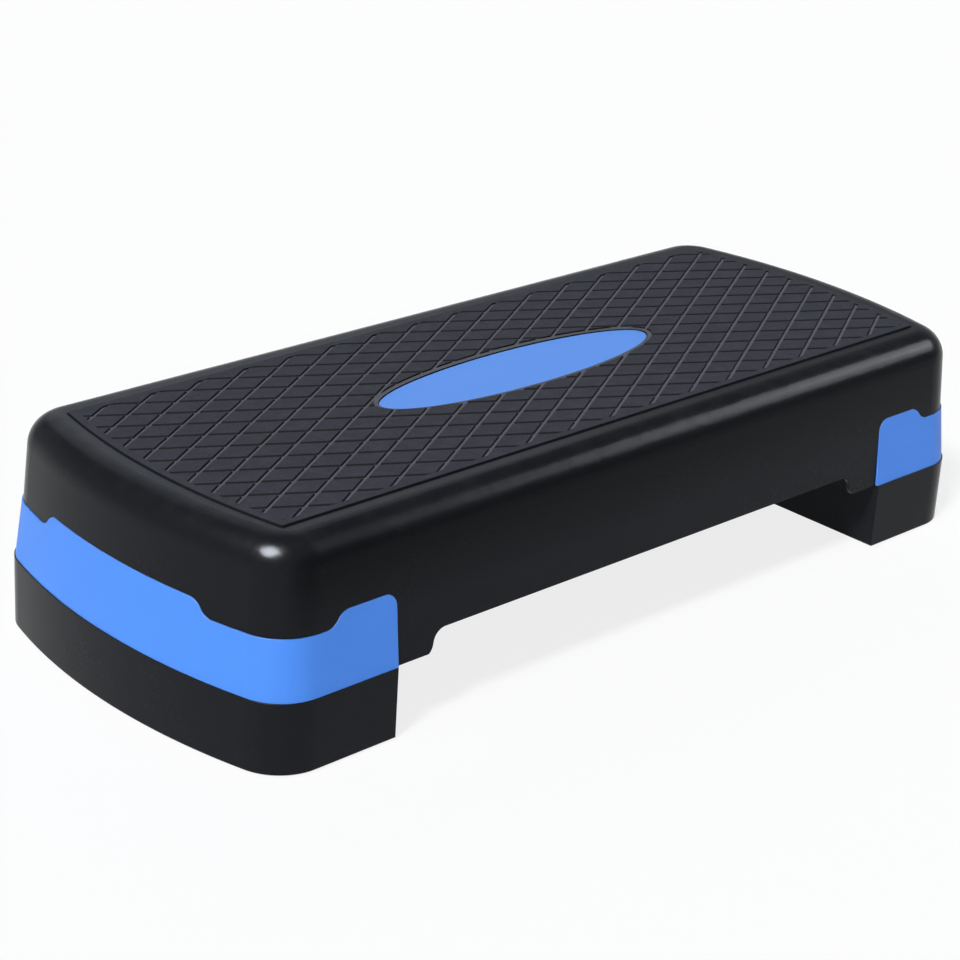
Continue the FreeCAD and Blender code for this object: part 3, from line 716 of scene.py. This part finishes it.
def settle(piece: Object, body: Body, nodes: list[str], crease: float = CREASE) -> None:
    """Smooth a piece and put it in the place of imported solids.

    Args:
        piece: the piece.
        body: body that carries it.
        nodes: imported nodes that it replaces.
        crease: angle above which its edges stay crisp.
    """
    for face in piece.data.polygons:
        face.use_smooth = True
    piece.data.set_sharp_from_angle(angle=crease)
    piece.modifiers.new("weighted_normals", "WEIGHTED_NORMAL").keep_sharp = True
    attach(piece, body.value)
    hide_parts(*nodes)
    LOG.info("built %s with %d faces", piece.name, len(piece.data.polygons))


class PatternTree(NodeSheet):
    """Geometry tree with named inputs, which ends in Realize Instances and Set Material."""

    def __init__(self, name: str) -> None:
        """Make an empty tree.

        Args:
            name: name of the tree.
        """
        super().__init__(bpy.data.node_groups.new(name, "GeometryNodeTree"))
        self.tree.interface.new_socket("Geometry", in_out="OUTPUT", socket_type="NodeSocketGeometry")
        self.identifiers: dict[str, str] = {}
        self.values: dict[str, Any] = {}
        self.source = self.add("NodeGroupInput")

    def size(self, label: str, value: Any, kind: str = "NodeSocketFloat") -> Socket:
        """Named input of the tree.

        Args:
            label: name of the input.
            value: value that the modifier gets.
            kind: socket type.

        Returns:
            The socket to read inside the tree.
        """
        socket = self.tree.interface.new_socket(label, in_out="INPUT", socket_type=kind)
        self.identifiers[label] = socket.identifier
        self.values[label] = value
        return self.source.outputs[label]

    def item(self, label: str, piece: Object) -> Socket:
        """Geometry of an object that is a named input of the tree."""
        socket = self.size(label, piece, "NodeSocketObject")
        return self.add("GeometryNodeObjectInfo", {"Object": socket}).outputs["Geometry"]

    def vector(self, **parts: Any) -> Socket:
        """Vector of X, Y and Z, where a part left out is zero."""
        return self.add("ShaderNodeCombineXYZ", parts).outputs["Vector"]

    def moved(self, geometry: Socket, **parts: Any) -> Socket:
        """Geometry moved by X, Y and Z, where a part left out is zero."""
        inputs = {"Geometry": geometry, "Translation": self.vector(**parts)}
        return self.add("GeometryNodeTransform", inputs).outputs["Geometry"]

    def repeat(self, piece: Socket, points: Socket) -> Socket:
        """Instances of a piece on points."""
        inputs = {"Points": points, "Instance": piece}
        return self.add("GeometryNodeInstanceOnPoints", inputs).outputs["Instances"]

    def mesh(self, kind: str, inputs: dict[str, Any], **settings: str) -> Socket:
        """Mesh that a Mesh node of some kind puts out."""
        return self.add(f"GeometryNodeMesh{kind}", inputs, **settings).outputs["Mesh"]

    def finish(self, geometry: Socket) -> "PatternTree":
        """Close the tree with Realize Instances and Set Material.

        Args:
            geometry: the tree's last geometry.

        Returns:
            The tree itself.
        """
        material = self.size("Material", None, "NodeSocketMaterial")
        whole = self.add("GeometryNodeRealizeInstances", {"Geometry": geometry}).outputs["Geometry"]
        dressed = self.add("GeometryNodeSetMaterial", {"Geometry": whole, "Material": material})
        self.add("NodeGroupOutput", {"Geometry": dressed.outputs["Geometry"]})
        return self

    def carrier(self, name: str, material: Material) -> Object:
        """Object with this tree as its modifier and every input set.

        Args:
            name: name of the object.
            material: material for Set Material.

        Returns:
            The object.
        """
        piece = linked(name, bpy.data.meshes.new(name))
        modifier = piece.modifiers.new(self.tree.name, "NODES")
        modifier.node_group = self.tree
        for label, value in {**self.values, "Material": material}.items():
            modifier[self.identifiers[label]] = value
        return piece


class NodeBox:
    """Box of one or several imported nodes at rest."""

    def __init__(self, *names: str) -> None:
        """Measure the nodes.

        Args:
            names: names of the nodes.
        """
        corners = [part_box(name) for name in names]
        self.low = Vector([min(low[axis] for low, _ in corners) for axis in range(3)])
        self.high = Vector([max(high[axis] for _, high in corners) for axis in range(3)])
        self.size = self.high - self.low
        self.centre = (self.low + self.high) / 2


@dataclass
class Moulding:
    """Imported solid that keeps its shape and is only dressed: the deck, a cap or a riser."""

    node: str
    slot: Slot

    def build(self, nodes: dict[str, Object], finishes: Finishes) -> None:
        """Give the solid its finish."""
        nodes[self.node].material_slots[0].material = finishes[self.slot]
        LOG.info("dressed %s", self.node)


@dataclass
class TreadMat:
    """Rubber mat: a sheet with an oval window, raised diamonds between straight grooves and a plain rim."""

    length: float
    depth: float
    low: float
    pad_top: float
    oval_length: float
    oval_depth: float
    bow: float = 0.0119
    border: float = 0.005
    pad_rise: float = 0.0012
    groove: float = 0.003
    wall_lean: float = 0.0007
    diamond_length: float = 0.0389
    diamond_depth: float = 0.0223
    diamond_shift: float = 0.0062
    window_gap: float = 0.0004
    ring: float = 0.0045
    edge_round: float = 0.00035
    edge_steps: int = 2
    rounded_from: float = math.radians(35)
    crease: float = math.radians(32)
    sink: float = 0.0003
    end_points: int = 24
    side_points: int = 48

    @classmethod
    def on_frame(cls) -> "TreadMat":
        """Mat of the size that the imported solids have."""
        mat, plaque = NodeBox("tread_mat"), NodeBox("oval_plaque")
        return cls(length=mat.size.x, depth=mat.size.y, low=mat.low.z, pad_top=mat.high.z,
                   oval_length=plaque.size.x, oval_depth=plaque.size.y)

    @property
    def sheet_top(self) -> float:
        """Height of the groove floors."""
        return self.pad_top - self.pad_rise

    @property
    def pad_level(self) -> float:
        """Height half way up the pads."""
        return self.pad_top - self.pad_rise / 2

    def outline(self, grow: float) -> Loop:
        """Bowed outline of the mat, moved outwards.

        Args:
            grow: how far the outline is moved.

        Returns:
            Points round the outline, anticlockwise, with the four corners among them.
        """
        half_depth = self.depth / 2 + grow
        shoulder = self.length / 2 - self.bow + grow
        radius = (half_depth ** 2 + self.bow ** 2) / (2 * self.bow)
        sweep = math.asin(half_depth / radius)
        centre = shoulder + self.bow - radius
        turns = [sweep * (2 * index / self.end_points - 1) for index in range(self.end_points)]
        end = [(centre + across, deep) for across, deep in oval(radius, radius, turns)]
        steps = [1 - 2 * index / self.side_points for index in range(self.side_points)]
        half = end + [(shoulder * step, half_depth) for step in steps]
        return half + [(-across, -deep) for across, deep in half]

    def window(self, grow: float, guide: Loop) -> Loop:
        """Oval of the plaque, moved outwards, with one point for each of a guide's points."""
        turns = [math.atan2(deep / self.depth, across / self.length) for across, deep in guide]
        return oval(self.oval_length / 2 + grow, self.oval_depth / 2 + grow, turns)

    def plate(self, name: str, grow: float, gap: float, low: float, high: float) -> Object:
        """Plate from a low to a high level: the outline moved outwards, less the oval and a gap round it."""
        outer = self.outline(grow)
        return hoop(name, outer, self.window(gap, outer), low, high)

    def pad(self) -> Object:
        """One whole diamond pad, a little wider at its foot.

        Returns:
            The pad, about the origin.
        """
        x, y = self.diamond_length / 2, self.diamond_depth / 2
        inradius = x * y / math.hypot(x, y)
        loops = []
        for height, inset in ((self.sheet_top - self.sink, self.groove / 2 - self.wall_lean),
                              (self.pad_top, self.groove / 2)):
            share = 1 - inset / inradius
            corners = ((x * share, 0.0), (0.0, y * share), (-x * share, 0.0), (0.0, -y * share))
            loops.append([Vector((*corner, height)) for corner in corners])
        return stack("diamond_pad", loops)

    def tree(self, sheet: Object, rim: Object, field: Object, pad: Object) -> PatternTree:
        """Tree that lays pads on a staggered lattice, trims them and joins them to the sheet and its rim.

        Args:
            sheet: plate that carries the pads.
            rim: plain border of the sheet, as high as the pads.
            field: block of the space that pads may fill.
            pad: one pad at the origin.

        Returns:
            The tree.
        """
        # Even along and odd across, and enough to pass the ends and the sides.
        along = 2 * math.ceil(self.length / (2 * self.diamond_length)) + 2
        across = 2 * math.ceil((self.depth / 2 + self.diamond_shift) / self.diamond_depth) + 1
        tree = PatternTree("diamond_tread")
        pitch_x = tree.size("Diamond Length", self.diamond_length)
        pitch_y = tree.size("Diamond Depth", self.diamond_depth)
        columns = tree.size("Columns", along, "NodeSocketInt")
        rows = tree.size("Rows", across, "NodeSocketInt")
        front = tree.size("Lattice Shift", self.diamond_shift)
        level = tree.size("Rounding Level", self.pad_level)
        extents = [tree.times(pitch, tree.math("SUBTRACT", count, 1.0))
                   for pitch, count in ((pitch_x, columns), (pitch_y, rows))]
        lattice = tree.mesh("Grid", {"Size X": extents[0], "Size Y": extents[1], "Vertices X": columns,
                                     "Vertices Y": rows})
        staggered = tree.moved(lattice, X=tree.times(pitch_x, 0.5), Y=tree.times(pitch_y, 0.5))
        both = tree.add("GeometryNodeJoinGeometry", {"Geometry": [lattice, staggered]}).outputs["Geometry"]
        spread = tree.repeat(tree.item("Pad", pad), tree.moved(both, Y=tree.times(front, -1.0)))
        pads = tree.add("GeometryNodeRealizeInstances", {"Geometry": spread}).outputs["Geometry"]
        shared = [pads, tree.item("Field", field)]
        trimmed = tree.mesh("Boolean", {"Mesh 2": shared}, operation="INTERSECT", solver="MANIFOLD")
        parts = [tree.item("Sheet", sheet), tree.item("Rim", rim), trimmed]
        whole = tree.mesh("Boolean", {"Mesh 2": parts}, operation="UNION", solver="MANIFOLD")
        height = tree.axis(tree.add("GeometryNodeInputPosition").outputs[0], "Z")
        angle = tree.add("GeometryNodeInputMeshEdgeAngle").outputs["Unsigned Angle"]
        chosen = tree.times(tree.math("GREATER_THAN", height, level),
                            tree.math("GREATER_THAN", angle, self.rounded_from))
        marked = tree.add("GeometryNodeStoreNamedAttribute",
                          {"Geometry": whole, "Name": "bevel_weight_edge", "Value": chosen},
                          data_type="FLOAT", domain="EDGE")
        return tree.finish(marked.outputs["Geometry"])

    def build(self, finishes: Finishes) -> None:
        """Make the whole mat, in place of its solid.

        Args:
            finishes: materials by slot.
        """
        sheet = self.plate("mat_sheet", -self.border / 2, self.window_gap, self.low + self.sink,
                           self.sheet_top)
        rim = hoop("mat_rim", self.outline(0.0), self.outline(-self.border), self.low, self.pad_top)
        field = self.plate("mat_field", self.sink - self.border, self.ring, self.sheet_top - 2 * self.sink,
                           self.pad_top + self.sink)
        pad = self.pad()
        carrier = self.tree(sheet, rim, field, pad).carrier("mat_pattern", finishes[Slot.TREAD])
        bevel = carrier.modifiers.new("pad_edges", "BEVEL")
        bevel.limit_method = "WEIGHT"
        bevel.width = self.edge_round
        bevel.segments = self.edge_steps
        mat = baked(carrier, "diamond_tread_mat", sheet, rim, field, pad)
        settle(mat, Body.DECK, ["tread_mat"], self.crease)


@dataclass
class OvalPlaque:
    """Thin blue oval plate with a rounded rim, bare on top."""

    length: float
    depth: float
    low: float
    thickness: float
    rim: float = 0.0005
    points: int = 160
    rim_steps: int = 4

    @classmethod
    def on_frame(cls) -> "OvalPlaque":
        """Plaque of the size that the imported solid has."""
        box = NodeBox("oval_plaque")
        return cls(length=box.size.x, depth=box.size.y, low=box.low.z, thickness=box.size.z)

    def loop(self, inset: float, height: float) -> list[Vector]:
        """Oval set in by a distance, at a height."""
        points = oval(self.length / 2 - inset, self.depth / 2 - inset, circuit(self.points))
        return [Vector((x, y, height)) for x, y in points]

    def build(self, finishes: Finishes) -> None:
        """Make the plaque, in place of its solid.

        Args:
            finishes: materials of the step.
        """
        top = self.low + self.thickness
        loops = [self.loop(0.0, self.low)]
        for step in range(self.rim_steps + 1):
            turn = math.pi / 2 * step / self.rim_steps
            loops.append(self.loop(self.rim * (1 - math.cos(turn)), top - self.rim * (1 - math.sin(turn))))
        loops.append(self.loop(2 * self.rim, top))
        plaque = stack("oval_plate", loops)
        # The plate's paler blue is a painted sheen.
        plaque.data.materials.append(finishes.plate)
        settle(plaque, Body.DECK, ["oval_plaque"])


@dataclass
class CapScrews:
    """Screws under one end cap, with profiles in shares of the head's or the shank's radius and length."""

    end: End
    along: float
    pitch: float
    head_low: float
    head_radius: float
    length: float
    count: int = 4
    head: float = 0.0024
    head_profile: tuple[Range, ...] = ((0.55, 0.0), (0.80, 0.06), (0.93, 0.2), (1.0, 0.45), (1.0, 0.97),
                                       (0.97, 1.0))
    shank_radius: float = 0.002
    thread_pitch: float = 0.0012
    thread_depth: float = 0.0003
    thread_start: float = 0.05
    thread_share: float = 0.85
    tip_profile: tuple[Range, ...] = ((0.5, 0.97), (0.1, 1.0))
    slot_width: float = 0.001
    slot_depth: float = 0.0012
    slot_reach: float = 2.5
    sides: int = 32

    @classmethod
    def on_frame(cls, end: End) -> "CapScrews":
        """Screws of one end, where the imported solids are.

        Args:
            end: the step's end.

        Returns:
            The row of screws.
        """
        box = NodeBox(f"{end.value}_cap_screws")
        return cls(end, along=box.centre.x, pitch=(box.size.y - box.size.x) / (cls.count - 1),
                   head_low=box.low.z, head_radius=box.size.x / 2, length=box.size.z)

    def blank(self) -> Object:
        """One screw before its slot is cut, head down, with its lowest point at zero.

        Returns:
            The screw, about the origin.
        """
        shank = self.length - self.head
        profile = [(self.head_radius * share, self.head * rise) for share, rise in self.head_profile]
        profile.append((self.shank_radius, self.head))
        for turn in range(round(shank * self.thread_share / self.thread_pitch)):
            start = self.head + shank * self.thread_start + turn * self.thread_pitch
            profile += [(self.shank_radius - self.thread_depth, start),
                        (self.shank_radius, start + self.thread_pitch / 2)]
        profile += [(self.shank_radius * share, self.head + shank * rise)
                    for share, rise in self.tip_profile]
        return lathe("screw_blank", profile, self.sides)

    def tree(self, blank: Object) -> PatternTree:
        """Tree that cuts the slot and sets the screws in a row.

        Args:
            blank: one screw at the origin.

        Returns:
            The tree.
        """
        tree = PatternTree(f"{self.end.value}_screw_row")
        along = tree.size("Along", self.along)
        pitch = tree.size("Pitch", self.pitch)
        level = tree.size("Head Level", self.head_low)
        width = tree.size("Slot Width", self.slot_width)
        depth = tree.size("Slot Depth", self.slot_depth)
        count = tree.size("Count", self.count, "NodeSocketInt")
        reach = tree.size("Slot Length", self.slot_reach * self.head_radius)
        size = tree.vector(X=reach, Y=width, Z=tree.times(depth, 2.0))
        cut = {"Mesh 1": tree.item("Blank", blank), "Mesh 2": tree.mesh("Cube", {"Size": size})}
        slotted = tree.mesh("Boolean", cut, operation="DIFFERENCE", solver="EXACT")
        front = tree.times(pitch, tree.times(tree.math("SUBTRACT", count, 1.0), -0.5))
        line = {"Count": count, "Start Location": tree.vector(X=along, Y=front, Z=level),
                "Offset": tree.vector(Y=pitch)}
        return tree.finish(tree.repeat(slotted, tree.mesh("Line", line, mode="OFFSET")))

    def build(self, finishes: Finishes) -> None:
        """Make the row of screws, in place of its solids.

        Args:
            finishes: materials by slot.
        """
        word = self.end.value
        blank = self.blank()
        carrier = self.tree(blank).carrier(f"{word}_screw_pattern", finishes[Slot.STEEL])
        screws = baked(carrier, f"{word}_slotted_screws", blank)
        settle(screws, Body.DECK, [f"{word}_cap_screws"])


@dataclass
class FootPads:
    """Four rubber feet under one cap or riser, with rings in shares of the radius and a ridge's height."""

    name: str
    nodes: list[str]
    body: Body
    centre: float
    column_gap: float
    row_gap: float
    low: float
    radius: float
    thickness: float
    bevel: float = 0.0005
    bevel_share: float = 0.3
    ridge: float = 0.0003
    rings: tuple[Range, ...] = ((0.12, 1.0), (0.16, 0.0), (0.30, 0.0), (0.34, 1.0), (0.44, 1.0), (0.48, 0.0),
                                (0.60, 0.0), (0.64, 1.0), (0.74, 1.0), (0.78, 0.0))
    sides: int = 48

    @classmethod
    def on_frame(cls, end: End, owner: str, body: Body) -> "FootPads":
        """Feet of one cap or riser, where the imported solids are.

        Args:
            end: the step's end.
            owner: "cap" or "riser".
            body: body that carries the feet.

        Returns:
            The four feet.
        """
        nodes = [f"{end.value}_{owner}_{row}_{column}_pad" for row in ("front", "back")
                 for column in ("inner", "outer")]
        whole = NodeBox(*nodes)
        one = NodeBox(nodes[0])
        gaps = whole.size - one.size
        return cls(f"{end.value}_{owner}_feet", nodes, body, centre=whole.centre.x, column_gap=gaps.x,
                   row_gap=gaps.y, low=one.low.z, radius=one.size.x / 2, thickness=one.size.z)

    def disc(self) -> Object:
        """One foot, with ring ridges on the face that meets the floor.

        Returns:
            The foot, about the origin.
        """
        part = self.bevel * self.bevel_share
        profile = [(self.radius * share, self.ridge * rise) for share, rise in self.rings]
        profile += [(self.radius - self.bevel, 0.0), (self.radius - part, part), (self.radius, self.bevel),
                    (self.radius, self.thickness - self.ridge), (self.radius - self.ridge, self.thickness)]
        return lathe("foot_disc", profile, self.sides)

    def tree(self, disc: Object) -> PatternTree:
        """Tree that sets the feet at the corners of a rectangle.

        Args:
            disc: one foot at the origin.

        Returns:
            The tree.
        """
        tree = PatternTree(self.name)
        centre = tree.size("Centre", self.centre)
        level = tree.size("Level", self.low)
        gap_x = tree.size("Column Gap", self.column_gap)
        gap_y = tree.size("Row Gap", self.row_gap)
        corners = tree.mesh("Grid", {"Size X": gap_x, "Size Y": gap_y, "Vertices X": 2, "Vertices Y": 2})
        return tree.finish(tree.repeat(tree.item("Foot", disc), tree.moved(corners, X=centre, Z=level)))

    def build(self, finishes: Finishes) -> None:
        """Make the four feet, in place of their solids.

        Args:
            finishes: materials by slot.
        """
        disc = self.disc()
        carrier = self.tree(disc).carrier(f"{self.name}_pattern", finishes[Slot.FOOT])
        settle(baked(carrier, self.name, disc), self.body, self.nodes)


@dataclass(frozen=True)
class Lamp:
    """Soft far lamp: the direction that it stands in and how wide it appears, in degrees."""

    name: str
    azimuth: float
    elevation: float
    strength: float
    spread: float
    use: LampUse = LampUse.ALL
    tint: Colour = WHITE

    def build(self) -> None:
        """Make the lamp."""
        lamp = bpy.data.lights.new(self.name, "SUN")
        lamp.energy = self.strength
        lamp.color = self.tint
        lamp.angle = math.radians(self.spread)
        holder = linked(self.name, lamp)
        holder.rotation_mode = "QUATERNION"
        holder.rotation_quaternion = direction(self.azimuth, self.elevation).to_track_quat("Z", "Y")
        holder.visible_diffuse = self.use is not LampUse.GLOSS
        holder.visible_glossy = self.use is not LampUse.MATT


@dataclass
class Studio:
    """Pale floor, a sky that fades upwards, soft lamps, and softboxes that only gloss shows."""

    floor_half: float = 20.0
    floor_level: float = -0.0003
    horizon: float = 0.75
    zenith: float = 0.15
    fade_top: float = 0.55
    sky_tint: Colour = (0.86, 0.92, 1.0)
    lamps: tuple[Lamp, ...] = (
        Lamp("left_lamp", -72.0, 50.0, 2.8, 10.0, LampUse.MATT),
        Lamp("left_softbox", -80.6, 53.5, 27.0, 31.0, LampUse.GLOSS),
        Lamp("right_softbox_high", 73.5, 35.0, 0.8, 18.0, LampUse.GLOSS),
        Lamp("right_softbox_low", 61.5, 28.0, 0.7, 18.0, LampUse.GLOSS),
        Lamp("back_lamp", 150.0, 35.0, 0.33, 40.0, tint=(0.82, 0.88, 1.0)),
    )

    def build(self, groups: Effects) -> None:
        """Make the floor, the sky and the lamps.

        Args:
            groups: shared effects.
        """
        half = self.floor_half
        corners = ((-half, -half), (half, -half), (half, half), (-half, half))
        mesh = bpy.data.meshes.new("floor")
        mesh.from_pydata([(x, y, self.floor_level) for x, y in corners], [], [(0, 1, 2, 3)])
        mesh.materials.append(StudioPaper().build(groups))
        linked("floor", mesh)
        world = bpy.data.worlds.new("studio_sky")
        bpy.context.scene.world = world
        world.use_nodes = True
        sheet = NodeSheet(world.node_tree)
        rise = sheet.axis(sheet.add("ShaderNodeTexCoord").outputs["Generated"], "Z")
        sky = world.node_tree.nodes["Background"].inputs
        sheet.feed(sky["Color"], self.sky_tint)
        sheet.feed(sky["Strength"], sheet.between(rise, 0.0, self.fade_top, self.horizon, self.zenith))
        for lamp in self.lamps:
            lamp.build()
        LOG.info("built the studio")


@dataclass
class PhotoCamera:
    """Camera at the photograph's place."""

    azimuth: float = -44.8246
    elevation: float = 23.3552
    roll: float = 3.5271
    distance: float = 1.79072
    target: tuple[float, float, float] = (-0.03086, 0.0, 0.07117)
    focal_pixels: float = 2564.68
    image_pixels: float = 960.0
    sensor: float = 36.0

    def build(self) -> None:
        """Make the camera and give it to the scene."""
        camera = bpy.data.cameras.new("photo_camera")
        camera.sensor_width = self.sensor
        camera.lens = self.sensor * self.focal_pixels / self.image_pixels
        back = direction(self.azimuth, self.elevation)
        turned = back.to_track_quat("Z", "Y") @ Quaternion((0.0, 0.0, 1.0), math.radians(self.roll))
        place = Matrix.Translation(Vector(self.target) + back * self.distance)
        holder = linked("photo_camera", camera)
        holder.matrix_world = place @ turned.to_matrix().to_4x4()
        bpy.context.scene.camera = holder
        LOG.info("placed the camera")


def main() -> None:
    """Build the step's looks round its solids."""
    logging.basicConfig(level=logging.INFO, format="%(name)s: %(message)s")
    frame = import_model()
    nodes = frame["nodes"]
    bpy.context.scene.view_settings.view_transform = "Standard"
    groups = Effects()
    mat = TreadMat.on_frame()
    finishes = Finishes(groups, mat)
    PhotoCamera().build()
    Studio().build(groups)
    Moulding("deck_shell", Slot.BLACK).build(nodes, finishes)
    mat.build(finishes)
    OvalPlaque.on_frame().build(finishes)
    for end in End:
        Moulding(f"{end.value}_end_cap", Slot.BLUE).build(nodes, finishes)
        Moulding(f"{end.value}_riser", Slot.BLACK).build(nodes, finishes)
        CapScrews.on_frame(end).build(finishes)
        FootPads.on_frame(end, "cap", Body.DECK).build(finishes)
        FootPads.on_frame(end, "riser", Body(f"{end.value}_riser")).build(finishes)


if __name__ == "__main__":
    main()
